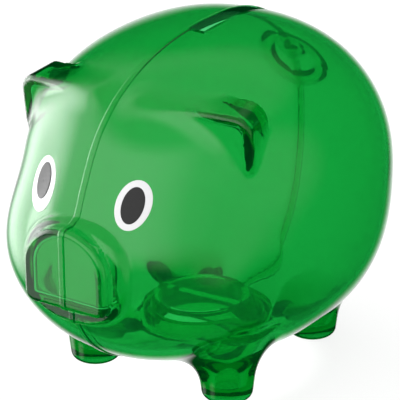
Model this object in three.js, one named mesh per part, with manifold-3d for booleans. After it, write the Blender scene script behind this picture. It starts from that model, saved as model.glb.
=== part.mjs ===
// A hollow see-through money pig: two moulded half shells joined on the middle plane,
// a stopper in the belly, and printed eyes.
// Millimetres. +Z up, the snout points along -Y, +X is the pig's own left side.
// The origin is the bottom centre of the whole pig's box: the feet stand on z = 0.
import * as THREE from "three";
import { mergeVertices } from "three/addons/utils/BufferGeometryUtils.js";
import { ConvexGeometry } from "three/addons/geometries/ConvexGeometry.js";
import Module from "manifold-3d";

const wasm = await Module();
wasm.setup();

// Driving dimensions
const WALL = 2; // moulded wall
const GAP = 0.3; // clearance between neighbouring pieces

// Barrel of the body: a rounded box form about its point of greatest girth
const BODY_Y = 12.5;
const BODY_Z = 50.4;
const BODY_HALF_WIDTH = 46.3;
const BODY_FRONT = 63.6;
const BODY_REAR = 47;
const BODY_TOP = 44.6;
const BODY_BOTTOM = 46;

// Exponents of the form: 2 is an ellipse, more is squarer
const PLAN_FRONT = 2.05;
const PLAN_REAR = 2.24;
const PROFILE_FRONT = 2.48;
const PROFILE_REAR = 2.2;
const PROFILE_BOTTOM = 2.5;
const PROFILE_BLEND = 0.6; // share of the length over which the top's profile changes

// Cheeks and jowls: a smaller round form low on the face
const MUZZLE_Y = -29.4;
const MUZZLE_Z = 42.8;
const MUZZLE_HALF = new THREE.Vector3(35.2, 27, 27.1);

// Snout: a D-shaped disc with its straight side down, on a wider round base that ends in the lip
const SNOUT_FRONT_Y = -59.5;
const SNOUT_BOTTOM_Z = 36.2;
const SNOUT_TOP_Z = 57.6;
const SNOUT_HALF_WIDTH = 12.3;
const SNOUT_CORNER = 3;
const SNOUT_LEAST_CORNER = 1; // of the snout's inside and its rounded edge
const SNOUT_EDGE = 1.8;
const BASE_FRONT_Y = -56;
const BASE_Z = 44.9;
const BASE_HALF_WIDTH = 15.8;
const BASE_HALF_HEIGHT = 13.6;
const BASE_EDGE = 1.6;
const SNOUT_ROOT_Y = -40;

// Ears: a triangular front panel, run backwards into the head
const EAR_ROOT = new THREE.Vector3(3.4, -35.3, 85.6);
const EAR_TIP = new THREE.Vector3(35.2, -29.5, 83.4);
const EAR_LOW = new THREE.Vector3(35.4, -27, 65.4);
const EAR_CORNER = 5;
const EAR_EDGE = 1.4;
const EAR_DEPTH = 10.5;
const EAR_DRAFT = 0.5; // how much wider all round the ear is at its full depth
const EAR_SUNK = 16; // how far the panel runs on inside the head
const EAR_CORNER_STEPS = 12;

// Feet
const FOOT_X = 21.5;
const FRONT_FOOT_Y = -17;
const REAR_FOOT_Y = 28.7;
const FOOT_SOLE_RADIUS = 5;
const FOOT_LOW_RADIUS = 6.5;
const FOOT_HIGH_RADIUS = 8.4;
const FOOT_BEVEL_RADIUS = 6;
const FOOT_BEVEL = 0.6;
const FOOT_ROUND = 1.8;
const FOOT_TOP_Z = 20;

// Curly tail, moulded in relief on the rump
const TAIL_Z = 73.5;
const TAIL_RING_RADIUS = 8.6;
const TAIL_TUBE_RADIUS = 1.8;
const TAIL_SUNK = 0.6;

// Middle seam and coin slot: the slot is a notch in the left half's edge
const SEAM_RIB_HALF_WIDTH = 2.1;
const SEAM_RIB_DEPTH = 1.6;
const SLOT_WIDTH = 4.4;
const SLOT_LENGTH = 34;
const SLOT_Y = 15.1;

// Belly opening and its stopper
const BELLY_Y = 4.6;
const BELLY_FACE_Z = 4.8;
const PAD_RADIUS = 19;
const SEAT_RADIUS = 16.7;
const SEAT_DEPTH = 2.2;
const HOLE_RADIUS = 14.9;
const COLLAR_RADIUS = 16.9;
const COLLAR_TOP_Z = 12.6;
const STOPPER_FLANGE_RADIUS = 16.3;
const STOPPER_FLANGE = 1.9;
const STOPPER_RADIUS = 14.5;
const STOPPER_TAPER = 0.3;
const STOPPER_TOP_Z = 15.6;
const STOPPER_WALL = 1.6;
const GRIP_THICKNESS = 2.6;
const GRIP_DEPTH = 8;

// Eyes, printed on the face
const EYE_X = 13.6;
const EYE_Z = 63.5;
const LEFT_EYE_WHITE = new THREE.Vector2(4.2, 5.7); // half width and half height
const RIGHT_EYE_WHITE = new THREE.Vector2(4.4, 6.4);
const EYE_PUPIL = new THREE.Vector2(2.65, 4.2);
const PRINT_THICKNESS = 0.4;
const LEFT_PUPIL_LIFT = 0;
const RIGHT_PUPIL_LIFT = 0.8;

// Mesh fineness
const AROUND = 36;
const DOWN = 22;
const ROUND_SEGMENTS = 32;
const OUTLINE_STEPS = 7;
const EDGE_STEPS = 3;
const FOOT_SEGMENTS = 16;
const TUBE_SEGMENTS = 10;
const SAME_POINT = 1e-4; // vertices nearer than this are one

const FAR = 200; // longer than anything here
const OVERSHOOT = 1; // how far a cutting form runs on past what it cuts

// Looks
const GREEN = 0x14a03d;
const PLASTIC_ROUGHNESS = 0.06;
const PLASTIC_OPACITY = 0.55;
const PRINT_WHITE = 0xe6e6e6;
const PRINT_BLACK = 0x1e1e1e;
const PRINT_ROUGHNESS = 0.35;

// A closed geometry as a solid that can be joined and cut.
function solid(geometry) {
  const bare = geometry.index ? geometry.toNonIndexed() : geometry.clone();
  bare.deleteAttribute("normal");
  bare.deleteAttribute("uv");
  const merged = mergeVertices(bare, SAME_POINT);
  const mesh = new wasm.Mesh({
    numProp: 3,
    vertProperties: merged.attributes.position.array,
    triVerts: new Uint32Array(merged.index.array),
  });
  return new wasm.Manifold(mesh);
}

// A solid back as a geometry with flat faces.
function geometryOf(form) {
  const mesh = form.getMesh();
  const geometry = new THREE.BufferGeometry();
  geometry.setAttribute("position", new THREE.BufferAttribute(mesh.vertProperties, 3));
  geometry.setIndex(new THREE.BufferAttribute(mesh.triVerts, 1));
  const faceted = geometry.toNonIndexed();
  faceted.computeVertexNormals();
  return faceted;
}

const union = (forms) => forms.reduce((whole, form) => whole.add(form));

function box(low, high) {
  const size = new THREE.Vector3().subVectors(high, low);
  const centre = new THREE.Vector3().addVectors(low, high).multiplyScalar(0.5);
  return solid(new THREE.BoxGeometry(size.x, size.y, size.z).translate(centre.x, centre.y, centre.z));
}

// A solid of revolution about the vertical line through (x, y), from a list of [radius, z].
function turned(outline, x, y, segments) {
  const points = outline.map(([radius, z]) => new THREE.Vector2(radius, z));
  const form = new THREE.LatheGeometry(points, segments).rotateX(Math.PI / 2);
  return solid(form.translate(x, y, 0));
}

const cylinder = (radius, lowZ, highZ, x, y) =>
  turned([[0, lowZ], [radius, lowZ], [radius, highZ], [0, highZ]], x, y, ROUND_SEGMENTS);

// How many times its own length the form reaches in a direction, as a divisor.
function bodyGauge(direction) {
  const { x, y, z } = direction;
  const plan = y < 0 ? PLAN_FRONT : PLAN_REAR;
  const girth = (Math.abs(x) ** plan + Math.abs(y) ** plan) ** (1 / plan);
  const rearward = THREE.MathUtils.smoothstep(y, -PROFILE_BLEND, PROFILE_BLEND);
  const top = THREE.MathUtils.lerp(PROFILE_FRONT, PROFILE_REAR, rearward);
  const profile = z < 0 ? PROFILE_BOTTOM : top;
  return (girth ** profile + Math.abs(z) ** profile) ** (1 / profile);
}

// The body's barrel, shrunk by an inset all round (grown by a negative one).
function barrel(inset) {
  const form = new THREE.SphereGeometry(1, AROUND, DOWN).rotateX(Math.PI / 2);
  const places = form.attributes.position;
  const place = new THREE.Vector3();
  for (let i = 0; i < places.count; i++) {
    place.fromBufferAttribute(places, i);
    place.divideScalar(bodyGauge(place));
    const long = place.y < 0 ? BODY_FRONT : BODY_REAR;
    const tall = place.z < 0 ? BODY_BOTTOM : BODY_TOP;
    places.setXYZ(
      i,
      place.x * (BODY_HALF_WIDTH - inset),
      BODY_Y + place.y * (long - inset),
      BODY_Z + place.z * (tall - inset),
    );
  }
  return solid(form);
}

function muzzle(inset) {
  const form = new THREE.SphereGeometry(1, AROUND, DOWN).rotateX(Math.PI / 2);
  const half = MUZZLE_HALF.clone().subScalar(inset);
  form.scale(half.x, half.y, half.z);
  return solid(form.translate(0, MUZZLE_Y, MUZZLE_Z));
}

// The barrel and the muzzle together: what the eyes are printed on.
const face = (inset) => barrel(inset).add(muzzle(inset));

// A convex outline in the XZ plane, run forwards from the root to a rounded front edge.
// outlineAt gives the outline as a Shape, shrunk all round by its argument.
function disc(outlineAt, frontY, edge, inset) {
  const points = [];
  const addRing = (shrink, y) =>
    outlineAt(shrink)
      .getPoints(OUTLINE_STEPS)
      .forEach((point) => points.push(new THREE.Vector3(point.x, y, point.y)));
  addRing(inset, SNOUT_ROOT_Y);
  for (let step = 0; step <= EDGE_STEPS; step++) {
    const turn = ((step / EDGE_STEPS) * Math.PI) / 2;
    addRing(inset + edge * (1 - Math.cos(turn)), frontY + inset + edge * (1 - Math.sin(turn)));
  }
  return solid(new ConvexGeometry(points));
}

function snoutOutline(shrink) {
  const { PI } = Math;
  const middleZ = (SNOUT_BOTTOM_Z + SNOUT_TOP_Z) / 2;
  const halfWidth = SNOUT_HALF_WIDTH - shrink;
  const corner = Math.max(SNOUT_CORNER - shrink, SNOUT_LEAST_CORNER);
  const cornerX = halfWidth - corner;
  const cornerZ = SNOUT_BOTTOM_Z + shrink + corner;
  const outline = new THREE.Shape();
  outline.absellipse(0, middleZ, halfWidth, SNOUT_TOP_Z - middleZ - shrink, 0, PI, false, 0);
  outline.absarc(-cornerX, cornerZ, corner, PI, 1.5 * PI, false);
  outline.absarc(cornerX, cornerZ, corner, 1.5 * PI, 2 * PI, false);
  return outline;
}

function baseOutline(shrink) {
  const halfWidth = BASE_HALF_WIDTH - shrink;
  const halfHeight = BASE_HALF_HEIGHT - shrink;
  return new THREE.Shape().absellipse(0, BASE_Z, halfWidth, halfHeight, 0, 2 * Math.PI, false, 0);
}

const snout = (inset) => disc(snoutOutline, SNOUT_FRONT_Y, SNOUT_EDGE, inset);
const snoutBase = (inset) => disc(baseOutline, BASE_FRONT_Y, BASE_EDGE, inset);

// The centre of the circle that rounds a corner between two neighbouring corners.
function roundingCentre(before, corner, after, radius) {
  const toBefore = new THREE.Vector2().subVectors(before, corner).normalize();
  const toAfter = new THREE.Vector2().subVectors(after, corner).normalize();
  const inwards = toBefore.clone().add(toAfter).normalize();
  const halfSine = toBefore.distanceTo(toAfter) / 2;
  return corner.clone().addScaledVector(inwards, radius / halfSine);
}

// The left ear: a rounded panel in the plane of its three corner points, run back into the head.
function leftEar(inset) {
  const along = new THREE.Vector3().subVectors(EAR_TIP, EAR_ROOT).normalize();
  const down = new THREE.Vector3().subVectors(EAR_LOW, EAR_ROOT);
  const back = new THREE.Vector3().crossVectors(along, down).normalize();
  const across = new THREE.Vector3().crossVectors(back, along);
  const corners = [
    new THREE.Vector2(0, 0),
    new THREE.Vector2(EAR_TIP.distanceTo(EAR_ROOT), 0),
    new THREE.Vector2(down.dot(along), down.dot(across)),
    new THREE.Vector2(0, EAR_SUNK),
  ];
  const points = [];
  corners.forEach((corner, i) => {
    const before = corners.at(i - 1);
    const after = corners[(i + 1) % corners.length];
    const centre = roundingCentre(before, corner, after, EAR_CORNER);
    for (let step = 0; step < EAR_CORNER_STEPS; step++) {
      const turn = (step / EAR_CORNER_STEPS) * 2 * Math.PI;
      const outwards = new THREE.Vector2(Math.cos(turn), Math.sin(turn));
      for (const [radius, depth] of [
        [EAR_CORNER - EAR_EDGE - inset, inset],
        [EAR_CORNER - inset, EAR_EDGE + inset],
        [EAR_CORNER + EAR_DRAFT - inset, EAR_DEPTH - inset],
      ]) {
        const spot = centre.clone().addScaledVector(outwards, radius);
        points.push(new THREE.Vector3(spot.x, spot.y, depth));
      }
    }
  });
  const form = new ConvexGeometry(points);
  form.applyMatrix4(new THREE.Matrix4().makeBasis(along, across, back));
  return solid(form.translate(EAR_ROOT.x, EAR_ROOT.y, EAR_ROOT.z));
}

function foot(x, y, inset) {
  const sole = Math.max(inset, 0);
  return turned([
    [0, sole],
    [FOOT_SOLE_RADIUS - inset, sole],
    [FOOT_BEVEL_RADIUS - inset, sole + FOOT_BEVEL],
    [FOOT_LOW_RADIUS - inset, sole + FOOT_ROUND],
    [FOOT_HIGH_RADIUS - inset, FOOT_TOP_Z],
    [0, FOOT_TOP_Z],
  ], x, y, FOOT_SEGMENTS);
}

const mirrored = (form) => form.mirror([1, 0, 0]);

// Everything the shell's skin encloses, shrunk by an inset.
function wholePig(inset) {
  const ear = leftEar(inset);
  const feet = [FRONT_FOOT_Y, REAR_FOOT_Y].flatMap((y) => [
    foot(FOOT_X, y, inset),
    foot(-FOOT_X, y, inset),
  ]);
  return union([
    face(inset),
    snoutBase(inset),
    snout(inset),
    ear,
    mirrored(ear),
    ...feet,
  ]);
}

// The tail's ring lies on the rump, square to its surface.
function tail() {
  const height = (TAIL_Z - BODY_Z) / BODY_TOP;
  const reach = (1 - height ** PROFILE_REAR) ** (1 / PROFILE_REAR);
  const slope = (reach ** (PROFILE_REAR - 1)) / BODY_REAR;
  const rise = (height ** (PROFILE_REAR - 1)) / BODY_TOP;
  const tilt = Math.atan2(rise, slope);
  const ring = new THREE.TorusGeometry(TAIL_RING_RADIUS, TAIL_TUBE_RADIUS, TUBE_SEGMENTS, ROUND_SEGMENTS);
  ring.translate(0, 0, TAIL_SUNK);
  ring.rotateX(Math.PI / 2 + tilt);
  return solid(ring.translate(0, BODY_Y + reach * BODY_REAR, TAIL_Z));
}

// Both half shells in one piece, before the middle plane parts them.
function shell() {
  const rib = box(
    new THREE.Vector3(-SEAM_RIB_HALF_WIDTH, -FAR, -FAR),
    new THREE.Vector3(SEAM_RIB_HALF_WIDTH, FAR, FAR),
  );
  const hollow = wholePig(WALL).subtract(rib).add(barrel(WALL + SEAM_RIB_DEPTH));
  const pad = cylinder(PAD_RADIUS, BELLY_FACE_Z, BELLY_FACE_Z + WALL + SEAT_DEPTH, 0, BELLY_Y);
  const collar = cylinder(COLLAR_RADIUS, BELLY_FACE_Z, COLLAR_TOP_Z, 0, BELLY_Y);
  const seat = cylinder(SEAT_RADIUS, -OVERSHOOT, BELLY_FACE_Z + SEAT_DEPTH, 0, BELLY_Y);
  const hole = cylinder(HOLE_RADIUS, -OVERSHOOT, COLLAR_TOP_Z + OVERSHOOT, 0, BELLY_Y);
  const slot = box(
    new THREE.Vector3(-GAP / 2, SLOT_Y - SLOT_LENGTH / 2, BODY_Z + BODY_TOP / 2),
    new THREE.Vector3(SLOT_WIDTH - GAP / 2, SLOT_Y + SLOT_LENGTH / 2, FAR),
  );
  const skin = wholePig(0).add(tail()).subtract(hollow);
  return skin.add(pad).add(collar).subtract(seat).subtract(hole).subtract(slot);
}

function half(whole, side) {
  const inner = side * (GAP / 2);
  const outer = side * FAR;
  const keep = box(
    new THREE.Vector3(Math.min(inner, outer), -FAR, -FAR),
    new THREE.Vector3(Math.max(inner, outer), FAR, FAR),
  );
  return whole.intersect(keep);
}

// A cup with its mouth down, a flange round the mouth and a grip bar across it.
function stopper() {
  const flangeTop = BELLY_FACE_Z + STOPPER_FLANGE;
  const inside = STOPPER_RADIUS - STOPPER_WALL;
  const cup = turned([
    [inside, BELLY_FACE_Z],
    [STOPPER_FLANGE_RADIUS, BELLY_FACE_Z],
    [STOPPER_FLANGE_RADIUS, flangeTop],
    [STOPPER_RADIUS, flangeTop],
    [STOPPER_RADIUS - STOPPER_TAPER, STOPPER_TOP_Z],
    [0, STOPPER_TOP_Z],
    [0, STOPPER_TOP_Z - STOPPER_WALL],
    [inside - STOPPER_TAPER, STOPPER_TOP_Z - STOPPER_WALL],
    [inside, BELLY_FACE_Z],
  ], 0, BELLY_Y, ROUND_SEGMENTS);
  const reach = inside + STOPPER_WALL / 2;
  const lowZ = STOPPER_TOP_Z - STOPPER_WALL / 2 - GRIP_DEPTH;
  const grip = box(
    new THREE.Vector3(-reach, BELLY_Y - GRIP_THICKNESS / 2, lowZ),
    new THREE.Vector3(reach, BELLY_Y + GRIP_THICKNESS / 2, STOPPER_TOP_Z - STOPPER_WALL / 2),
  );
  return cup.add(grip);
}

// An oval column that passes through the face at an eye.
function eyeColumn(size, x, z) {
  const oval = new THREE.Shape().absellipse(0, 0, size.x, size.y, 0, 2 * Math.PI, false, 0);
  const column = new THREE.ExtrudeGeometry(oval, {
    depth: BODY_FRONT,
    bevelEnabled: false,
    curveSegments: ROUND_SEGMENTS / 2,
  });
  return solid(column.rotateX(Math.PI / 2).translate(x, 0, z));
}

function eye(side, size, pupilLift) {
  const film = face(-GAP - PRINT_THICKNESS).subtract(face(-GAP));
  const clear = new THREE.Vector2(GAP, GAP);
  const x = side * EYE_X;
  const pupilZ = EYE_Z + pupilLift;
  const room = eyeColumn(EYE_PUPIL.clone().add(clear), x, pupilZ);
  return {
    white: film.intersect(eyeColumn(size, x, EYE_Z)).subtract(room),
    pupil: film.intersect(eyeColumn(EYE_PUPIL, x, pupilZ)),
  };
}

const greenPlastic = () =>
  new THREE.MeshStandardMaterial({
    color: GREEN,
    roughness: PLASTIC_ROUGHNESS,
    metalness: 0,
    transparent: true,
    opacity: PLASTIC_OPACITY,
  });
const print = (color) =>
  new THREE.MeshStandardMaterial({ color, roughness: PRINT_ROUGHNESS, metalness: 0 });

function piece(name, form, material) {
  const mesh = new THREE.Mesh(geometryOf(form), material);
  mesh.name = name;
  return mesh;
}

const whole = shell();
const leftEye = eye(1, LEFT_EYE_WHITE, LEFT_PUPIL_LIFT);
const rightEye = eye(-1, RIGHT_EYE_WHITE, RIGHT_PUPIL_LIFT);

const shells = new THREE.Group();
shells.add(
  piece("left_shell", half(whole, 1), greenPlastic()),
  piece("right_shell", half(whole, -1), greenPlastic()),
  piece("left_eye_white", leftEye.white, print(PRINT_WHITE)),
  piece("left_eye_pupil", leftEye.pupil, print(PRINT_BLACK)),
  piece("right_eye_white", rightEye.white, print(PRINT_WHITE)),
  piece("right_eye_pupil", rightEye.pupil, print(PRINT_BLACK)),
);

const pig = new THREE.Group();
pig.add(shells, piece("belly_stopper", stopper(), greenPlastic()));

export default pig;
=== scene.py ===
import math

import bmesh
import bpy
import numpy as np
import openvdb
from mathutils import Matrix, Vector


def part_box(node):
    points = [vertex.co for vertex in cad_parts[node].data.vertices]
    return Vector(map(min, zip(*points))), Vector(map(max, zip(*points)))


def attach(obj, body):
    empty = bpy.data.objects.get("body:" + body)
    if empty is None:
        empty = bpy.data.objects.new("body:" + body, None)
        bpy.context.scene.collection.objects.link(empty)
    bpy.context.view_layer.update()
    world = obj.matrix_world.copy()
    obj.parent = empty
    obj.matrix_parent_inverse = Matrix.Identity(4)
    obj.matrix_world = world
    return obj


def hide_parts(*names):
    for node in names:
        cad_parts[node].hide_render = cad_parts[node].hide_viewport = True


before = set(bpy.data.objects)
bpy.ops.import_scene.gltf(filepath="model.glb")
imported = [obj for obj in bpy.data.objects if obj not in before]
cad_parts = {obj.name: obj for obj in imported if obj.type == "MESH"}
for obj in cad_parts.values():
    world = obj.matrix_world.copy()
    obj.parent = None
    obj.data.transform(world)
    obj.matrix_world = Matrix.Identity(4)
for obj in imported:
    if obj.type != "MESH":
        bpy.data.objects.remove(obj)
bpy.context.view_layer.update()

# ---------------------------------------------------------------------------
# Dimensions of the pig, in millimetres in its own frame: +Z up, the snout along -Y, +X its left side.
# They follow the CAD model, with small differences at the feet, snout, seam and tail that bring the
# looks nearer to the photograph. Everything is scaled to metres when a mesh is made.
# ---------------------------------------------------------------------------
MM = 0.001

WALL = 2.0
BODY_CENTRE = (0.0, 12.5, 50.4)
BODY_HALF_WIDTH = 46.3
BODY_FRONT, BODY_REAR = 63.6, 47.0
BODY_TOP, BODY_BOTTOM = 44.6, 46.0
PLAN_FRONT, PLAN_REAR = 2.05, 2.24
PROFILE_FRONT, PROFILE_REAR, PROFILE_BOTTOM = 2.48, 2.2, 2.5
PROFILE_BLEND = 0.6

MUZZLE_CENTRE = (0.0, -29.4, 42.8)
MUZZLE_HALF = (35.2, 27.0, 27.1)
MUZZLE_FILLET = 7.0

SNOUT_FRONT_Y, SNOUT_BOTTOM_Z, SNOUT_TOP_Z = -59.5, 36.2, 57.6
SNOUT_HALF_WIDTH, SNOUT_CORNER, SNOUT_EDGE = 12.3, 3.0, 1.5
BASE_FRONT_Y, BASE_Z, BASE_POWER = -56.0, 44.9, 2.3
BASE_HALF_WIDTH, BASE_HALF_HEIGHT = 15.8, 13.6
BASE_EDGE_TOP, BASE_EDGE_LIP, SNOUT_ROOT_Y = 3.0, 1.2, -25.0
LIP_TOP_Z, LIP_END_Z = 34.0, 44.0
BASE_FILLET, PLATE_FILLET = 1.2, 0.4

EAR_ROOT = np.array((3.4, -35.3, 85.6))
EAR_TIP = np.array((35.2, -29.5, 83.4))
EAR_LOW = np.array((35.4, -27.0, 65.4))
EAR_CORNER, EAR_EDGE, EAR_DEPTH, EAR_SUNK, EAR_DRAFT = 5.0, 1.4, 10.5, 16.0, 0.5
# The space inside the ear, for each millimetre of wall: how much rounder its edge, how much smaller it is
EAR_INNER_EDGE, EAR_THICKENING = 0.7, 0.4
# Where the ear sinks into the forehead
EAR_FADE, EAR_FADE_START_X, EAR_FADE_END_X = 1.2, 24.0, 6.0
EAR_FILLET, EAR_ROOT_FILLET = 1.0, 2.0
FACE_FILLET, FACE_FILLET_DEPTHS, FACE_FILLET_X = 3.0, (11.0, 1.0), (35.0, 27.0)

FOOT_X, FRONT_FOOT_Y, REAR_FOOT_Y = 21.5, -17.0, 28.7
FOOT_LOW_RADIUS, FOOT_HIGH_RADIUS, FOOT_ROUND, FOOT_TOP_Z = 6.8, 9.0, 1.9, 20.0
FOOT_FILLET = 7.0
SOLE_EXTRA, SOLE_REACH, SOLE_HEIGHT = 2.0, (14.0, 10.0), (16.0, 8.0)

TAIL_Z, TAIL_RING_RADIUS, TAIL_TUBE_RADIUS, TAIL_PROUD = 73.5, 8.6, 1.8, -1.1
CURL_LIFT, CURL_RADIUS, CURL_TUBE_RADIUS = 4.0, 3.0, 1.3
TAIL_FILLET, CURL_FILLET = 2.0, 0.8

SEAM_RIB_HALF_WIDTH, SEAM_RIB_CREST, SEAM_RIB_DEPTH = 2.1, 0.3, 0.8
SEAM_RIB_START_Y, SEAM_RIB_FULL_Y = 0.0, 30.0
SEAM_GAP, BEAD_HALF_WIDTH, BEAD_HEIGHT, BEAD_EDGE, BEAD_SHOULDER = 0.015, 0.85, 0.3, 0.25, 0.4
SLOT_WIDTH, SLOT_LENGTH, SLOT_Y, SLOT_RELIEF = 4.4, 34.0, 15.1, 0.02

BELLY_Y, BELLY_FACE_Z, PAD_RADIUS, PAD_EDGE, PAD_FILLET = 4.6, 4.8, 19.0, 0.6, 2.0
SEAT_RADIUS, SEAT_DEPTH, HOLE_RADIUS = 16.7, 2.2, 14.9
COLLAR_RADIUS, COLLAR_TOP_Z = 16.9, 12.6
FLANGE_RADIUS, FLANGE, STOPPER_RADIUS, STOPPER_TAPER = 16.3, 1.9, 14.5, 0.3
STOPPER_TOP_Z, STOPPER_WALL, STOPPER_EDGE = 15.6, 1.6, 0.5
GRIP_THICKNESS, GRIP_DEPTH = 2.6, 8.0

# The eye prints: films just off the face, thinner at the rim, found by steps from in front of it
PRINT_STANDOFF, PRINT_THICKNESS, PRINT_GAP, PRINT_CORE, PRINT_TAPER = 0.02, 0.07, 0.01, 0.02, 0.4
PRINT_AROUND, PRINT_ACROSS, PRINT_START_Y, PRINT_ROUNDS, PRINT_LEAST_SLOPE = 96, 14, -50.0, 8, 0.2

# The floor: how pale it is, and its light away from the pig and under it, with the distances from the
# middle, in metres, between which one turns into the other
FLOOR_SHADE, FLOOR_ROUGHNESS, FLOOR_HALF_SIZE = 0.2, 0.9, 3000.0  # the size in millimetres
FLOOR_GLOW, FLOOR_GLOW_BELOW, FLOOR_GLOW_START, FLOOR_GLOW_END = 0.82, 1.2, 0.04, 0.02

# Soft lights that the plastic mirrors: azimuth, elevation, full and outer half angle in degrees, radiance
FRONT_LIGHT = (-25.0, 20.0, 20.0, 98.0, 2.0)
MIRRORED_LIGHTS = (
    (-88.0, 1.0, 12.0, 40.0, 4.6),
    (-67.0, -1.0, 6.0, 15.0, 5.0),
    (-38.0, -22.0, 8.0, 22.0, 1.3),
    (-147.0, -22.0, 12.0, 34.0, 1.0),
    (90.0, 10.0, 15.0, 40.0, 0.5),
)
# How lights change with height in the world (0 level, 1 overhead): start, end, from, to
FRONT_TOP_FADE, FRONT_LOW_FADE = (0.62, 0.86, 1.0, 0.05), (-0.08, 0.24, 0.0, 1.0)
OVERHEAD_LIGHT = (0.60, 0.80, 0.0, 0.35)

# Softboxes, in metres: place, what they aim at, size, and radiance
SOFTBOX_AIM = (0.0, 0.0, 0.05)
FRONT_SOFTBOX = ((-0.29, -1.07, 0.50), SOFTBOX_AIM, (1.5, 0.95), 1.9)
LEFT_SOFTBOX = ((-1.18, 0.0, 0.40), SOFTBOX_AIM, (1.3, 0.75), 6.0)

# The plastic: its tints, how much it bends light (hardly, at the weld), and the colour of its depth.
# The painted glow is a faint green emission over the whole plastic, standing in for the light that real
# plastic scatters inside its wall.
PLASTIC_DEEP, PLASTIC_PALE, WELD_TINT = (0.23, 0.67, 0.37), (0.27, 0.70, 0.40), (0.6, 0.86, 0.7)
PLASTIC_BENDING, WELD_BENDING = 1.5, 1.0002
DEPTH_COLOUR, SHELL_DENSITY, STOPPER_DENSITY = (0.05, 0.80, 0.42, 1.0), 560.0, 250.0
# Painted glow: the colour and strength of a faint green light that the plastic gives off of its own
PAINTED_GLOW_COLOUR, PAINTED_GLOW_STRENGTH = (0.0, 1.0, 0.22), 0.022

# Textures: the span in which a noise's values are read, the scale and detail of each, and its effect
NOISE_LOW, NOISE_HIGH = 0.3, 0.7
HAZE_NOISE, TINT_NOISE, RIPPLE_NOISE, FLOW_NOISE = (90.0, 2.0), (25.0, 2.0), (45.0, 1.0), (110.0, 0.0)
HAZE, RIPPLE, FLOW, PLASTIC_RELIEF = 0.035, 0.08, 0.006, 0.0015
SPECKLE_NOISE, GRAIN_NOISE = (900.0, 3.0), (1500.0, 2.0)
GLOSSIER, DULLER, GRAIN, INK_RELIEF = 0.05, 0.08, 0.12, 0.0002

# Inks: two shades, roughness and shine
WHITE_INK = ((0.60, 0.60, 0.61), (0.66, 0.66, 0.66), 0.3, 0.25)
BLACK_INK = ((0.004, 0.004, 0.004), (0.008, 0.008, 0.008), 0.13, 0.28)

# How often a ray may go through, or be mirrored, inside the plastic
BOUNCES, MIRROR_BOUNCES = 40, 24

# The mesh: its grid, the steps that measure a slope, and what counts as on the skin, flat or sharp
VOXEL = 0.75
GRID_LOW, GRID_HIGH, GRID_BAND = np.array((-50.0, -63.0, -2.0)), np.array((50.0, 63.0, 98.0)), 4.0
SETTLE_ROUNDS, SLOPE_STEP, BEAD_SLOPE_STEP, LEAST_SLOPE = 3, 0.02, 0.2, 0.05
ON_SKIN, FLAT = 0.03, 0.999
ALIKE_ANGLE, SHARP_ANGLE = 25.0, 32.0
TURNED_SEGMENTS = 96
FAR, OVERSHOOT = 200.0, 1.0
SMALL, TINY, LEAST = 1e-6, 1e-9, 1e-12  # they keep a division or a power away from zero

# Camera, in the same millimetres: the photograph's angle on the pig
CAMERA_PLACE = Vector((245.6, -378.6, 227.3))
CAMERA_AIM = Vector((3.8, -2.9, 47.5))
CAMERA_LENS = 161.5
CAMERA_SENSOR = 36.0
CAMERA_NEAR, CAMERA_FAR = 0.01, 20.0  # in metres


# ---------------------------------------------------------------------------
# The form as a field: each function gives the distance from its surface, below zero inside.
# ---------------------------------------------------------------------------
def smooth_step(low, high, value):
    share = np.clip((value - low) / (high - low), 0.0, 1.0)
    return share * share * (3.0 - 2.0 * share)


def join(a, b, blend):
    """The union of two fields with a fillet of about that width where they meet."""
    share = np.clip(0.5 + 0.5 * (b - a) / blend, 0.0, 1.0)
    return b + (a - b) * share - blend * share * (1.0 - share)


def rounded_slab(outline, front, edge):
    """An outline's field run back from a front plane, with its front edge rounded."""
    across, ahead = outline + edge, front + edge
    outside = np.hypot(np.maximum(across, 0.0), np.maximum(ahead, 0.0))
    return outside + np.minimum(np.maximum(across, ahead), 0.0) - edge


def ellipse(a, b, half_a, half_b):
    near = np.hypot(a / half_a, b / half_b)
    slope = np.hypot(a / half_a**2, b / half_b**2)
    return near * (near - 1.0) / np.maximum(slope, SMALL)


def barrel(x, y, z):
    """The body: a rounded box form, with its own roundness in front, behind, above and below."""
    x, y, z = np.abs(x) - BODY_CENTRE[0], y - BODY_CENTRE[1], z - BODY_CENTRE[2]
    long = np.where(y < 0.0, BODY_FRONT, BODY_REAR)
    tall = np.where(z < 0.0, BODY_BOTTOM, BODY_TOP)
    u, v, w = x / BODY_HALF_WIDTH, np.abs(y) / long, np.abs(z) / tall
    reach = np.sqrt(u * u + v * v + w * w) + TINY
    rearward = smooth_step(-PROFILE_BLEND, PROFILE_BLEND, (y / long) / reach)
    plan = np.where(y < 0.0, PLAN_FRONT, PLAN_REAR)
    profile = np.where(z < 0.0, PROFILE_BOTTOM, PROFILE_FRONT + (PROFILE_REAR - PROFILE_FRONT) * rearward)
    girth = (u**plan + v**plan) ** (1.0 / plan) + TINY
    gauge = (girth**profile + w**profile) ** (1.0 / profile)
    outwards = (girth / gauge) ** (profile - 1.0)
    slope_x = outwards * (u / girth) ** (plan - 1.0) / BODY_HALF_WIDTH
    slope_y = outwards * (v / girth) ** (plan - 1.0) / long
    slope_z = (w / gauge) ** (profile - 1.0) / tall
    return (gauge - 1.0) / np.sqrt(slope_x**2 + slope_y**2 + slope_z**2 + LEAST)


def muzzle(x, y, z):
    parts = [(p - c) / h for p, c, h in zip((x, y, z), MUZZLE_CENTRE, MUZZLE_HALF)]
    near = np.sqrt(sum(p * p for p in parts))
    slope = np.sqrt(sum((p / h) ** 2 for p, h in zip(parts, MUZZLE_HALF)))
    return near * (near - 1.0) / np.maximum(slope, SMALL)


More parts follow.
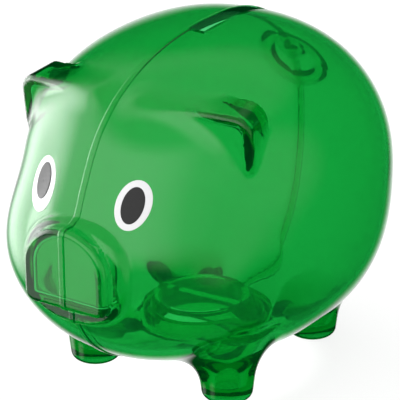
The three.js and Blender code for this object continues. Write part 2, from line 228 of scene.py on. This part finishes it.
def snout_plate(x, y, z, soft):
    """The D-shaped plate: straight below with rounded corners, an arch above."""
    middle = (SNOUT_BOTTOM_Z + SNOUT_TOP_Z) / 2.0
    arch = ellipse(x, z - middle, SNOUT_HALF_WIDTH, SNOUT_TOP_Z - middle)
    side = np.abs(x) - (SNOUT_HALF_WIDTH - SNOUT_CORNER)
    under = SNOUT_BOTTOM_Z + SNOUT_CORNER - z
    corner = np.hypot(np.maximum(side, 0.0), np.maximum(under, 0.0))
    square = corner + np.minimum(np.maximum(side, under), 0.0) - SNOUT_CORNER
    outline = np.where(z > middle, arch, square)
    return np.maximum(rounded_slab(outline, SNOUT_FRONT_Y - y, SNOUT_EDGE + soft), y - SNOUT_ROOT_Y)


def snout_base(x, y, z, soft):
    """The wider round base behind the plate. Its sharper lower edge is the lip."""
    a, b = np.abs(x) / BASE_HALF_WIDTH, np.abs(z - BASE_Z) / BASE_HALF_HEIGHT
    gauge = (a**BASE_POWER + b**BASE_POWER) ** (1.0 / BASE_POWER) + TINY
    slope_x = (a / gauge) ** (BASE_POWER - 1.0) / BASE_HALF_WIDTH
    slope_z = (b / gauge) ** (BASE_POWER - 1.0) / BASE_HALF_HEIGHT
    outline = (gauge - 1.0) / np.hypot(slope_x, slope_z)
    edge = BASE_EDGE_LIP + (BASE_EDGE_TOP - BASE_EDGE_LIP) * smooth_step(LIP_TOP_Z, LIP_END_Z, z)
    return np.maximum(rounded_slab(outline, BASE_FRONT_Y - y, edge + soft), y - SNOUT_ROOT_Y)


def polygon(a, b, corners):
    """The distance from a convex outline, below zero inside it."""
    nearest = np.full(a.shape, np.inf)
    inside = np.ones(a.shape, bool)
    turning = sum(
        p[0] * q[1] - q[0] * p[1] for p, q in zip(corners, np.roll(corners, -1, axis=0))
    )
    for p, q in zip(corners, np.roll(corners, -1, axis=0)):
        edge = q - p
        to_a, to_b = a - p[0], b - p[1]
        share = np.clip((to_a * edge[0] + to_b * edge[1]) / (edge @ edge), 0.0, 1.0)
        nearest = np.minimum(nearest, np.hypot(to_a - share * edge[0], to_b - share * edge[1]))
        inside &= (edge[0] * to_b - edge[1] * to_a) * turning >= 0.0
    return np.where(inside, -nearest, nearest)


def ear_frame():
    along = (EAR_TIP - EAR_ROOT) / np.linalg.norm(EAR_TIP - EAR_ROOT)
    back = np.cross(along, EAR_LOW - EAR_ROOT)
    back /= np.linalg.norm(back)
    return along, np.cross(back, along), back


def ear_corners():
    """The centres of the circles that round the ear panel's corners, in the panel's own plane."""
    along, across, _ = ear_frame()
    sharp = np.array([
        (0.0, 0.0),
        (np.linalg.norm(EAR_TIP - EAR_ROOT), 0.0),
        ((EAR_LOW - EAR_ROOT) @ along, (EAR_LOW - EAR_ROOT) @ across),
        (0.0, EAR_SUNK),
    ])
    centres = []
    for before, corner, after in zip(np.roll(sharp, 1, axis=0), sharp, np.roll(sharp, -1, axis=0)):
        to_before = (before - corner) / np.linalg.norm(before - corner)
        to_after = (after - corner) / np.linalg.norm(after - corner)
        inwards = (to_before + to_after) / np.linalg.norm(to_before + to_after)
        centres.append(corner + inwards * EAR_CORNER * 2.0 / np.linalg.norm(to_before - to_after))
    return np.array(centres)


def ear(x, y, z, soft):
    """The ear's field and the fillet it has against the head: wide where the front panel meets the face."""
    along, across, back = ear_frame()
    dx, dy, dz = np.abs(x) - EAR_ROOT[0], y - EAR_ROOT[1], z - EAR_ROOT[2]
    a, b, depth = (dx * axis[0] + dy * axis[1] + dz * axis[2] for axis in (along, across, back))
    grown = EAR_CORNER + EAR_DRAFT * np.clip(depth / EAR_DEPTH, 0.0, 1.0) - EAR_THICKENING * soft
    root = smooth_step(EAR_FADE_START_X, EAR_FADE_END_X, np.abs(x))
    outline = polygon(a, b, ear_corners()) - grown + EAR_FADE * root
    edge = EAR_EDGE + EAR_INNER_EDGE * soft
    panel = np.maximum(rounded_slab(outline, -depth, edge), depth - EAR_DEPTH)
    in_front = FACE_FILLET * smooth_step(*FACE_FILLET_DEPTHS, depth) * smooth_step(*FACE_FILLET_X, np.abs(x))
    return panel, EAR_FILLET + in_front + EAR_ROOT_FILLET * root


def foot(x, y, z, foot_y):
    from_axis = np.hypot(np.abs(x) - FOOT_X, y - foot_y)
    radius = FOOT_LOW_RADIUS + (FOOT_HIGH_RADIUS - FOOT_LOW_RADIUS) * z / FOOT_TOP_Z
    return np.maximum(rounded_slab(from_axis - radius, -z, FOOT_ROUND), z - FOOT_TOP_Z)


def ring(x, y, z, centre, tilt, radius, tube):
    """A torus lying on the rump, turned about X by the tilt."""
    dy, dz = y - centre[1], z - centre[2]
    up = dy * math.cos(tilt) + dz * math.sin(tilt)
    flat = -dy * math.sin(tilt) + dz * math.cos(tilt)
    return np.hypot(np.hypot(x - centre[0], flat) - radius, up) - tube


def rump(height):
    """Where the middle of the rump is at a height, and which way its surface leans there."""
    share = (height - BODY_CENTRE[2]) / BODY_TOP
    reach = (1.0 - share**PROFILE_REAR) ** (1.0 / PROFILE_REAR)
    tilt = math.atan2(
        share ** (PROFILE_REAR - 1.0) / BODY_TOP,
        reach ** (PROFILE_REAR - 1.0) / BODY_REAR,
    )
    return BODY_CENTRE[1] + reach * BODY_REAR, tilt


def tail(x, y, z):
    """The curly tail: a ring, and a small curl inside its top."""
    place, tilt = rump(TAIL_Z)
    lift = (0.0, place + TAIL_PROUD * math.cos(tilt), TAIL_Z + TAIL_PROUD * math.sin(tilt))
    loop = ring(x, y, z, lift, tilt, TAIL_RING_RADIUS, TAIL_TUBE_RADIUS)
    curl_place, curl_tilt = rump(TAIL_Z + CURL_LIFT)
    curl = ring(x, y, z, (0.0, curl_place, TAIL_Z + CURL_LIFT), curl_tilt, CURL_RADIUS, CURL_TUBE_RADIUS)
    return join(loop, curl, CURL_FILLET)


def outer_form(x, y, z, soft=0.0):
    """The whole skin, seen from outside, with its edges softer by an amount."""
    form = join(barrel(x, y, z), muzzle(x, y, z), MUZZLE_FILLET)
    form = join(form, snout_base(x, y, z, soft), BASE_FILLET)
    form = join(form, snout_plate(x, y, z, soft), PLATE_FILLET + soft)
    form = join(form, *ear(x, y, z, soft))
    for foot_y in (FRONT_FOOT_Y, REAR_FOOT_Y):
        form = join(form, foot(x, y, z, foot_y), FOOT_FILLET)
    from_axis = np.hypot(x, y - BELLY_Y)
    pad = np.maximum(rounded_slab(from_axis - PAD_RADIUS, BELLY_FACE_Z - z, PAD_EDGE), z - FOOT_TOP_Z)
    form = join(form, pad, PAD_FILLET)
    return join(form, tail(x, y, z), TAIL_FILLET)


def hollow_form(x, y, z):
    """The space inside the wall, softer at its edges. The rear seam and the soles are thicker."""
    rib = SEAM_RIB_DEPTH * smooth_step(SEAM_RIB_HALF_WIDTH, SEAM_RIB_CREST, np.abs(x))
    rib = rib * smooth_step(SEAM_RIB_START_Y, SEAM_RIB_FULL_Y, y)
    from_feet = [np.hypot(np.abs(x) - FOOT_X, y - foot_y) for foot_y in (FRONT_FOOT_Y, REAR_FOOT_Y)]
    sole = SOLE_EXTRA * smooth_step(*SOLE_REACH, np.minimum(*from_feet)) * smooth_step(*SOLE_HEIGHT, z)
    return outer_form(x, y, z, WALL) + WALL + rib + sole


# ---------------------------------------------------------------------------
# Fields into meshes
# ---------------------------------------------------------------------------
def slope_of(field, points, step=SLOPE_STEP):
    slopes = []
    for axis in range(3):
        shift = np.zeros(3)
        shift[axis] = step
        slopes.append((field(*(points + shift).T) - field(*(points - shift).T)) / (2.0 * step))
    return np.array(slopes).T


def settle(field, points):
    """Moves points onto the field's surface."""
    for _ in range(SETTLE_ROUNDS):
        slope = slope_of(field, points)
        away = field(*points.T)
        points = points - slope * (away / np.maximum((slope**2).sum(1), LEAST_SLOPE))[:, None]
    return points


def new_object(name, mesh):
    made = bpy.data.objects.new(name, mesh)
    bpy.context.scene.collection.objects.link(made)
    return made


def mesh_object(name, points, faces):
    """An object from points in millimetres."""
    mesh = bpy.data.meshes.new(name)
    mesh.from_pydata((np.asarray(points) * MM).tolist(), [], faces)
    mesh.update()
    return new_object(name, mesh)


def facing_out(made):
    """Turns a closed mesh's faces outwards if they face in."""
    shape = bmesh.new()
    shape.from_mesh(made.data)
    if shape.calc_volume(signed=True) < 0.0:
        bmesh.ops.reverse_faces(shape, faces=shape.faces)
    shape.to_mesh(made.data)
    shape.free()
    return made


def surfaced(name, field):
    """The field's surface as a closed mesh of even quads, each vertex exactly on it."""
    counts = np.ceil((GRID_HIGH - GRID_LOW) / VOXEL).astype(int)
    axes = [GRID_LOW[i] + VOXEL * np.arange(counts[i], dtype=np.float64) for i in range(3)]
    values = np.empty(counts, np.float32)
    for i, x in enumerate(axes[0]):
        y, z = np.meshgrid(axes[1], axes[2], indexing="ij")
        values[i] = field(np.full(y.shape, x), y, z)
    band = VOXEL * GRID_BAND
    grid = openvdb.FloatGrid(band)
    grid.copyFromArray(np.clip(values, -band, band))
    points, triangles, quads = grid.convertToPolygons(isovalue=0.0, adaptivity=0.0)
    points = settle(field, GRID_LOW + np.asarray(points, np.float64) * VOXEL)
    faces = np.asarray(quads).tolist() + np.asarray(triangles).tolist()
    return facing_out(mesh_object(name, points, faces))


def block(name, low, high):
    corners = [(x, y, z) for x in (low[0], high[0]) for y in (low[1], high[1]) for z in (low[2], high[2])]
    faces = [(0, 1, 3, 2), (4, 6, 7, 5), (0, 4, 5, 1), (2, 3, 7, 6), (0, 2, 6, 4), (1, 5, 7, 3)]
    return mesh_object(name, corners, faces)


def turned(name, outline):
    """A solid of revolution about the belly's axis, from (radius, z) points that start and end on it."""
    rings, segments = outline[1:-1], TURNED_SEGMENTS
    angles = np.arange(segments) * 2.0 * math.pi / segments
    points = [(0.0, BELLY_Y, outline[0][1]), (0.0, BELLY_Y, outline[-1][1])]
    for radius, z in rings:
        points += [(radius * math.cos(a), BELLY_Y + radius * math.sin(a), z) for a in angles]
    faces = []
    for step in range(segments):
        after = (step + 1) % segments
        faces.append((0, 2 + after, 2 + step))
        last = 2 + (len(rings) - 1) * segments
        faces.append((1, last + step, last + after))
        for level in range(len(rings) - 1):
            base = 2 + level * segments
            faces.append((base + step, base + after, base + segments + after, base + segments + step))
    return mesh_object(name, points, faces)


def cylinder(name, radius, low, high):
    return turned(name, [(0.0, low), (radius, low), (radius, high), (0.0, high)])


def combine(target, tool, operation):
    """Joins the tool to the target, cuts it out, or keeps what they share, and removes the tool."""
    modifier = target.modifiers.new(operation, "BOOLEAN")
    modifier.operation = operation
    modifier.solver = "MANIFOLD"
    modifier.object = tool
    graph = bpy.context.evaluated_depsgraph_get()
    result = bpy.data.meshes.new_from_object(target.evaluated_get(graph))
    target.modifiers.clear()
    target.data = result
    bpy.data.objects.remove(tool)


def copied(source, name):
    made = source.copy()
    made.data = source.data.copy()
    made.name = name
    bpy.context.scene.collection.objects.link(made)
    return made


def middle_outline(whole):
    """The skin's outline in the middle plane: its points in order, in millimetres."""
    section = bmesh.new()
    section.from_mesh(whole.data)
    geometry = section.verts[:] + section.edges[:] + section.faces[:]
    found = bmesh.ops.bisect_plane(
        section, geom=geometry, dist=TINY, plane_co=(0.0, 0.0, 0.0), plane_no=(1.0, 0.0, 0.0)
    )
    neighbours = {}
    for edge in found["geom_cut"]:
        if isinstance(edge, bmesh.types.BMEdge):
            for vert in edge.verts:
                neighbours.setdefault(vert, []).append(edge.other_vert(vert))
    start = max(neighbours, key=lambda vert: vert.co.z)
    loop, here = [start], neighbours[start][0]
    while here is not start:
        onwards = [vert for vert in neighbours[here] if vert is not loop[-1]]
        loop.append(here)
        here = onwards[0]
    points = np.array([vert.co for vert in loop]) / MM
    section.free()
    return points


def seam_bead(whole):
    """A flat bead that runs round the skin's outline in the middle plane, over the weld."""
    points = middle_outline(whole)
    points[:, 0] = 0.0
    normals = slope_of(outer_form, points, BEAD_SLOPE_STEP)
    normals[:, 0] = 0.0
    normals /= np.linalg.norm(normals, axis=1)[:, None]
    sides = ((BEAD_HALF_WIDTH, -WALL / 2.0), (BEAD_HALF_WIDTH, BEAD_HEIGHT / 2.0),
             (BEAD_HALF_WIDTH - BEAD_EDGE, BEAD_HEIGHT), (BEAD_HALF_WIDTH - BEAD_SHOULDER, BEAD_HEIGHT))
    profile = [(-side, up) for side, up in sides] + list(reversed(sides))
    places = np.concatenate([points + normals * up + np.array((side, 0.0, 0.0)) for side, up in profile])
    count, corners = len(points), len(profile)
    faces = []
    for i in range(count):
        j = (i + 1) % count
        for a in range(corners):
            b = (a + 1) % corners
            faces.append((a * count + i, b * count + i, b * count + j, a * count + j))
    return facing_out(mesh_object("bead", places, faces))


def mark_seam(half):
    """Marks the face where a half is welded to the other, so that their plastic reads as one there."""
    marks = half.data.attributes.new("weld", "FLOAT", "FACE")
    count = len(half.data.polygons)
    centres, normals = np.empty(count * 3), np.empty(count * 3)
    half.data.polygons.foreach_get("center", centres)
    half.data.polygons.foreach_get("normal", normals)
    centres, normals = centres.reshape(-1, 3) / MM, normals.reshape(-1, 3)
    in_plane = np.abs(np.abs(centres[:, 0]) - SEAM_GAP) < SLOT_RELIEF / 2.0
    facing_across = np.abs(normals[:, 0]) > FLAT
    marks.data.foreach_set("value", (in_plane & facing_across).astype(np.float32))


def smoothed(piece):
    piece.data.shade_smooth()
    piece.data.set_sharp_from_angle(angle=math.radians(SHARP_ANGLE))


def true_normals(half):
    """Shades the skin, outside and inside, by the field's own slope, so that no mesh grid shows."""
    mesh = half.data
    vertices = np.empty(len(mesh.loops), np.int64)
    mesh.loops.foreach_get("vertex_index", vertices)
    shading = np.empty(len(mesh.loops) * 3, np.float32)
    mesh.corner_normals.foreach_get("vector", shading)
    shading = shading.reshape(-1, 3).astype(np.float64)
    places = np.empty(len(mesh.vertices) * 3)
    mesh.vertices.foreach_get("co", places)
    places = places.reshape(-1, 3) / MM
    for field, facing in ((outer_form, 1.0), (hollow_form, -1.0)):
        slope = facing * slope_of(field, places)
        slope /= np.maximum(np.linalg.norm(slope, axis=1), SMALL)[:, None]
        near = np.abs(field(*places.T)) < ON_SKIN
        alike = (shading * slope[vertices]).sum(1) > math.cos(math.radians(ALIKE_ANGLE))
        shading = np.where((near[vertices] & alike)[:, None], slope[vertices], shading)
    mesh.normals_split_custom_set(shading.tolist())


# ---------------------------------------------------------------------------
# Pieces
# ---------------------------------------------------------------------------
def half_shells():
    whole = surfaced("whole_skin", outer_form)
    combine(whole, seam_bead(whole), "UNION")
    hollow = surfaced("hollow", hollow_form)
    combine(hollow, cylinder("pad", PAD_RADIUS, -OVERSHOOT, BELLY_FACE_Z + WALL + SEAT_DEPTH), "DIFFERENCE")
    combine(hollow, cylinder("collar", COLLAR_RADIUS, -OVERSHOOT, COLLAR_TOP_Z), "DIFFERENCE")
    combine(whole, hollow, "DIFFERENCE")
    combine(whole, cylinder("seat", SEAT_RADIUS, -OVERSHOOT, BELLY_FACE_Z + SEAT_DEPTH), "DIFFERENCE")
    combine(whole, cylinder("hole", HOLE_RADIUS, -OVERSHOOT, COLLAR_TOP_Z + OVERSHOOT), "DIFFERENCE")
    right = copied(whole, "right_half")
    left = copied(whole, "left_half")
    bpy.data.objects.remove(whole)
    combine(right, block("right_side", (-FAR, -FAR, -FAR), (-SEAM_GAP, FAR, FAR)), "INTERSECT")
    combine(left, block("left_side", (SEAM_GAP, -FAR, -FAR), (FAR, FAR, FAR)), "INTERSECT")
    slot_start, slot_end = SLOT_Y - SLOT_LENGTH / 2.0, SLOT_Y + SLOT_LENGTH / 2.0
    slot_low = (-SEAM_GAP - SLOT_RELIEF, slot_start, BODY_CENTRE[2])
    for half in (left, right):
        combine(half, block("slot", slot_low, (SLOT_WIDTH, slot_end, FAR)), "DIFFERENCE")
        mark_seam(half)
    return left, right


def stopper():
    """A cup with its mouth down, a flange round the mouth and a grip bar across it."""
    flange_top = BELLY_FACE_Z + FLANGE
    inside = STOPPER_RADIUS - STOPPER_WALL
    low, edge = BELLY_FACE_Z, STOPPER_EDGE
    cup = turned("stopper", [
        (0.0, STOPPER_TOP_Z - STOPPER_WALL),
        (inside - STOPPER_TAPER - edge, STOPPER_TOP_Z - STOPPER_WALL),
        (inside - STOPPER_TAPER, STOPPER_TOP_Z - STOPPER_WALL - edge),
        (inside, low + edge),
        (inside + edge / 2.0, low),
        (FLANGE_RADIUS - edge, low),
        (FLANGE_RADIUS, low + edge),
        (FLANGE_RADIUS, flange_top),
        (STOPPER_RADIUS, flange_top),
        (STOPPER_RADIUS - STOPPER_TAPER, STOPPER_TOP_Z - edge),
        (STOPPER_RADIUS - STOPPER_TAPER - edge, STOPPER_TOP_Z),
        (0.0, STOPPER_TOP_Z),
    ])
    reach, high = inside + STOPPER_WALL / 2.0, STOPPER_TOP_Z - STOPPER_WALL / 2.0
    half = GRIP_THICKNESS / 2.0
    grip = block("grip", (-reach, BELLY_Y - half, high - GRIP_DEPTH), (reach, BELLY_Y + half, high))
    combine(cup, grip, "UNION")
    return cup


def printed_oval(name, centre, half, level):
    """A thin film on the face: an oval about a centre (x, z), its rim tapered."""
    around, across = PRINT_AROUND, PRINT_ACROSS
    angles = np.arange(around) * 2.0 * math.pi / around
    inner = np.array((PRINT_CORE, PRINT_CORE))
    layers = []
    for thickness in (PRINT_THICKNESS, 0.0):
        for step in range(across + 1):
            share = step / across
            size = inner + (np.array(half) - inner) * share
            x = centre[0] + size[0] * np.cos(angles)
            z = centre[1] + size[1] * np.sin(angles)
            taper = 1.0 if 0 < step < across else PRINT_TAPER
            height = level + thickness * taper
            y = np.full(around, PRINT_START_Y)
            for _ in range(PRINT_ROUNDS):
                rise = outer_form(x, y + SLOPE_STEP, z) - outer_form(x, y - SLOPE_STEP, z)
                steep = np.minimum(rise / (2.0 * SLOPE_STEP), -PRINT_LEAST_SLOPE)
                y = y - (outer_form(x, y, z) - height) / steep
            layers.append(np.array((x, y, z)).T)
    points = np.concatenate(layers)
    rows = across + 1
    faces = []
    for i in range(around):
        j = (i + 1) % around
        for step in range(across):
            a, b = step * around, (step + 1) * around
            faces.append((a + i, a + j, b + j, b + i))
            a, b = a + rows * around, b + rows * around
            faces.append((a + j, a + i, b + i, b + j))
        last = across * around
        below = rows * around
        faces.append((last + i, last + j, last + below + j, last + below + i))
        faces.append((j, i, below + i, below + j))
    return facing_out(mesh_object(name, points, faces))


def oval_of(node):
    """The centre and the half sizes of an eye's node, seen from the front, in millimetres."""
    low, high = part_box(node)
    centre = ((low.x + high.x) / 2.0 / MM, (low.z + high.z) / 2.0 / MM)
    return centre, ((high.x - low.x) / 2.0 / MM, (high.z - low.z) / 2.0 / MM)


def eye(side):
    white_centre, white_half = oval_of(side + "_eye_white")
    pupil_centre, pupil_half = oval_of(side + "_eye_pupil")
    white = printed_oval(side + "_white_print", white_centre, white_half, PRINT_STANDOFF)
    pupil_level = PRINT_STANDOFF + PRINT_THICKNESS + PRINT_GAP
    pupil = printed_oval(side + "_pupil_print", pupil_centre, pupil_half, pupil_level)
    return white, pupil


# ---------------------------------------------------------------------------
# Materials
# ---------------------------------------------------------------------------
def node_material(name):
    material = bpy.data.materials.new(name)
    material.use_nodes = True
    nodes, links = material.node_tree.nodes, material.node_tree.links
    place = nodes.new("ShaderNodeTexCoord")
    return material, nodes, links, nodes["Principled BSDF"], place.outputs["Object"]


def noise(nodes, links, place, scale, detail):
    texture = nodes.new("ShaderNodeTexNoise")
    texture.inputs["Scale"].default_value = scale
    texture.inputs["Detail"].default_value = detail
    links.new(place, texture.inputs["Vector"])
    return texture.outputs["Fac"]


def ramp(nodes, links, value, low, high):
    """A texture's value mapped to a range, for roughness and the like."""
    mapped = nodes.new("ShaderNodeMapRange")
    mapped.inputs["From Min"].default_value = NOISE_LOW
    mapped.inputs["From Max"].default_value = NOISE_HIGH
    mapped.inputs["To Min"].default_value = low
    mapped.inputs["To Max"].default_value = high
    links.new(value, mapped.inputs["Value"])
    return mapped.outputs["Result"]


def blended(nodes, links, share, low, high):
    """From one number or colour to another by a share. The first may be another node's output."""
    mix = nodes.new("ShaderNodeMix")
    if isinstance(high, tuple):
        mix.data_type = "RGBA"
        high = (*high, 1.0)
    if isinstance(low, tuple):
        low = (*low, 1.0)
    if isinstance(low, bpy.types.NodeSocket):
        links.new(low, mix.inputs["A"])
    else:
        mix.inputs["A"].default_value = low
    mix.inputs["B"].default_value = high
    links.new(share, mix.inputs["Factor"])
    return mix.outputs["Result"]


def bumps(nodes, links, heights, distance):
    """Bump from one or more height textures, one after the other."""
    normal = None
    for height, share in heights:
        bump = nodes.new("ShaderNodeBump")
        bump.inputs["Strength"].default_value = share
        bump.inputs["Distance"].default_value = distance
        links.new(height, bump.inputs["Height"])
        if normal:
            links.new(normal, bump.inputs["Normal"])
        normal = bump.outputs["Normal"]
    return normal


def green_plastic(name, density, welded):
    """Clear green moulded plastic: colour in its depth, faint ripple and handling haze on its skin, and a
    faint painted glow.
    """
    material, nodes, links, skin, place = node_material(name)
    skin.inputs["Transmission Weight"].default_value = 1.0
    skin.inputs["IOR"].default_value = PLASTIC_BENDING
    # Painted glow: the plastic gives off a faint green light of its own
    skin.inputs["Emission Color"].default_value = (*PAINTED_GLOW_COLOUR, 1.0)
    skin.inputs["Emission Strength"].default_value = PAINTED_GLOW_STRENGTH
    haze = ramp(nodes, links, noise(nodes, links, place, *HAZE_NOISE), 0.0, HAZE)
    colour = blended(nodes, links, noise(nodes, links, place, *TINT_NOISE), PLASTIC_DEEP, PLASTIC_PALE)
    if welded:
        attribute = nodes.new("ShaderNodeAttribute")
        attribute.attribute_name = "weld"
        weld = attribute.outputs["Fac"]
        haze = blended(nodes, links, weld, haze, 0.0)
        colour = blended(nodes, links, weld, colour, WELD_TINT)
        links.new(blended(nodes, links, weld, PLASTIC_BENDING, WELD_BENDING), skin.inputs["IOR"])
    links.new(haze, skin.inputs["Roughness"])
    links.new(colour, skin.inputs["Base Color"])
    ripple = noise(nodes, links, place, *RIPPLE_NOISE)
    flow = noise(nodes, links, place, *FLOW_NOISE)
    normal = bumps(nodes, links, ((ripple, RIPPLE), (flow, FLOW)), PLASTIC_RELIEF)
    links.new(normal, skin.inputs["Normal"])
    depth = nodes.new("ShaderNodeVolumeAbsorption")
    depth.inputs["Color"].default_value = DEPTH_COLOUR
    depth.inputs["Density"].default_value = density
    links.new(depth.outputs["Volume"], nodes["Material Output"].inputs["Volume"])
    return material


def ink(name, low, high, roughness, shine):
    """Pad-printed ink: nearly even, with fine speckle and a soft gloss."""
    material, nodes, links, skin, place = node_material(name)
    colour = blended(nodes, links, noise(nodes, links, place, *SPECKLE_NOISE), low, high)
    links.new(colour, skin.inputs["Base Color"])
    skin.inputs["Specular IOR Level"].default_value = shine
    grain = noise(nodes, links, place, *GRAIN_NOISE)
    gloss = ramp(nodes, links, grain, roughness - GLOSSIER, roughness + DULLER)
    links.new(gloss, skin.inputs["Roughness"])
    links.new(bumps(nodes, links, ((grain, GRAIN),), INK_RELIEF), skin.inputs["Normal"])
    return material


def finish(piece, material, body, slot, *stands_for):
    piece.data.materials.clear()
    piece.data.materials.append(material)
    smoothed(piece)
    if slot == "green_shell":
        true_normals(piece)
    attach(piece, body)
    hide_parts(*stands_for)


# ---------------------------------------------------------------------------
# Studio
# ---------------------------------------------------------------------------
def camera():
    lens = bpy.data.cameras.new("camera")
    lens.sensor_width = CAMERA_SENSOR
    lens.lens = CAMERA_LENS
    lens.clip_start, lens.clip_end = CAMERA_NEAR, CAMERA_FAR
    made = new_object("camera", lens)
    made.location = CAMERA_PLACE * MM
    made.rotation_euler = (CAMERA_AIM - CAMERA_PLACE).to_track_quat("-Z", "Y").to_euler()
    bpy.context.scene.camera = made


def softbox(name, place, aim, size, radiance):
    """Soft light for the ink and the floor. The plastic mirrors the surroundings instead."""
    light = bpy.data.lights.new(name, "AREA")
    light.shape = "RECTANGLE"
    light.size, light.size_y = size
    light.energy = radiance * math.pi * size[0] * size[1]
    made = new_object(name, light)
    made.location = place
    made.rotation_euler = (Vector(aim) - Vector(place)).to_track_quat("-Z", "Y").to_euler()
    made.visible_glossy = False
    made.visible_transmission = False


def towards(azimuth, elevation):
    """A direction: azimuth 0 is ahead of the snout and 90 is the pig's left."""
    a, e = math.radians(azimuth), math.radians(elevation)
    return math.sin(a) * math.cos(e), -math.cos(a) * math.cos(e), math.sin(e)


class Stage:
    """Node helpers for the floor and the world."""

    def __init__(self, tree, place):
        self.nodes, self.links = tree.nodes, tree.links
        self.place = place

    def vector(self, operation, *direction):
        node = self.nodes.new("ShaderNodeVectorMath")
        node.operation = operation
        self.links.new(self.place, node.inputs[0])
        if direction:
            node.inputs[1].default_value = direction
        return node.outputs["Value"]

    def fade(self, value, start, end, low, high):
        mapped = self.nodes.new("ShaderNodeMapRange")
        mapped.interpolation_type = "SMOOTHSTEP"
        for name, number in (("From Min", start), ("From Max", end), ("To Min", low), ("To Max", high)):
            mapped.inputs[name].default_value = number
        self.links.new(value, mapped.inputs["Value"])
        return mapped.outputs["Result"]

    def maths(self, operation, a, b):
        node = self.nodes.new("ShaderNodeMath")
        node.operation = operation
        self.links.new(a, node.inputs[0])
        self.links.new(b, node.inputs[1])
        return node.outputs["Value"]

    def glow(self, azimuth, elevation, inner, outer, radiance):
        """A soft round light, full inside one angle from a direction and gone outside the other."""
        facing = self.vector("DOT_PRODUCT", *towards(azimuth, elevation))
        return self.fade(facing, math.cos(math.radians(outer)), math.cos(math.radians(inner)), 0.0, radiance)


def floor():
    """A pale sheet lit from below, like a light table."""
    material = bpy.data.materials.new("floor")
    material.use_nodes = True
    nodes, links = material.node_tree.nodes, material.node_tree.links
    skin = nodes["Principled BSDF"]
    skin.inputs["Base Color"].default_value = (FLOOR_SHADE, FLOOR_SHADE, FLOOR_SHADE, 1.0)
    skin.inputs["Roughness"].default_value = FLOOR_ROUGHNESS
    skin.inputs["Specular IOR Level"].default_value = 0.0
    skin.inputs["Emission Color"].default_value = (1.0, 1.0, 1.0, 1.0)
    stage = Stage(material.node_tree, nodes.new("ShaderNodeNewGeometry").outputs["Position"])
    glow = (FLOOR_GLOW_START, FLOOR_GLOW_END, FLOOR_GLOW, FLOOR_GLOW_BELOW)
    below = stage.fade(stage.vector("LENGTH"), *glow)
    links.new(below, skin.inputs["Emission Strength"])
    size = FLOOR_HALF_SIZE
    corners = [(-size, -size, 0), (size, -size, 0), (size, size, 0), (-size, size, 0)]
    made = mesh_object("floor", corners, [(0, 1, 2, 3)])
    made.data.materials.append(material)
    made.visible_glossy = False


def surroundings():
    """White wherever it is looked at, and a studio of soft lights where the plastic mirrors it."""
    world = bpy.data.worlds.new("studio")
    world.use_nodes = True
    bpy.context.scene.world = world
    nodes, links = world.node_tree.nodes, world.node_tree.links
    stage = Stage(world.node_tree, nodes.new("ShaderNodeTexCoord").outputs["Generated"])
    height = stage.vector("DOT_PRODUCT", 0.0, 0.0, 1.0)
    front = stage.glow(*FRONT_LIGHT)
    front = stage.maths("MULTIPLY", front, stage.fade(height, *FRONT_TOP_FADE))
    front = stage.maths("MULTIPLY", front, stage.fade(height, *FRONT_LOW_FADE))
    total = stage.maths("ADD", front, stage.fade(height, *OVERHEAD_LIGHT))
    for light in MIRRORED_LIGHTS:
        total = stage.maths("ADD", total, stage.glow(*light))
    path = nodes.new("ShaderNodeLightPath")
    mirrored = stage.maths("MULTIPLY", path.outputs["Is Glossy Ray"], path.outputs["Is Reflection Ray"])
    strength = nodes.new("ShaderNodeMix")
    strength.inputs["A"].default_value = 1.0
    links.new(total, strength.inputs["B"])
    links.new(mirrored, strength.inputs["Factor"])
    links.new(strength.outputs["Result"], nodes["Background"].inputs["Strength"])
    nodes["Background"].inputs["Color"].default_value = (1.0, 1.0, 1.0, 1.0)


camera()
floor()
surroundings()
softbox("front_softbox", *FRONT_SOFTBOX)
softbox("left_softbox", *LEFT_SOFTBOX)

shell_plastic = green_plastic("green_shell_plastic", SHELL_DENSITY, True)
stopper_plastic = green_plastic("green_stopper_plastic", STOPPER_DENSITY, False)
white_ink = ink("white_ink", *WHITE_INK)
black_ink = ink("black_ink", *BLACK_INK)

left_half, right_half = half_shells()
finish(left_half, shell_plastic, "shell", "green_shell", "left_shell")
finish(right_half, shell_plastic, "shell", "green_shell", "right_shell")
finish(stopper(), stopper_plastic, "stopper", "green_stopper", "belly_stopper")
for side in ("left", "right"):
    white_print, pupil_print = eye(side)
    finish(white_print, white_ink, "shell", "white_print", side + "_eye_white")
    finish(pupil_print, black_ink, "shell", "black_print", side + "_eye_pupil")

scene = bpy.context.scene
scene.view_settings.view_transform = "Standard"
scene.cycles.max_bounces = BOUNCES
scene.cycles.transmission_bounces = BOUNCES
scene.cycles.glossy_bounces = MIRROR_BOUNCES
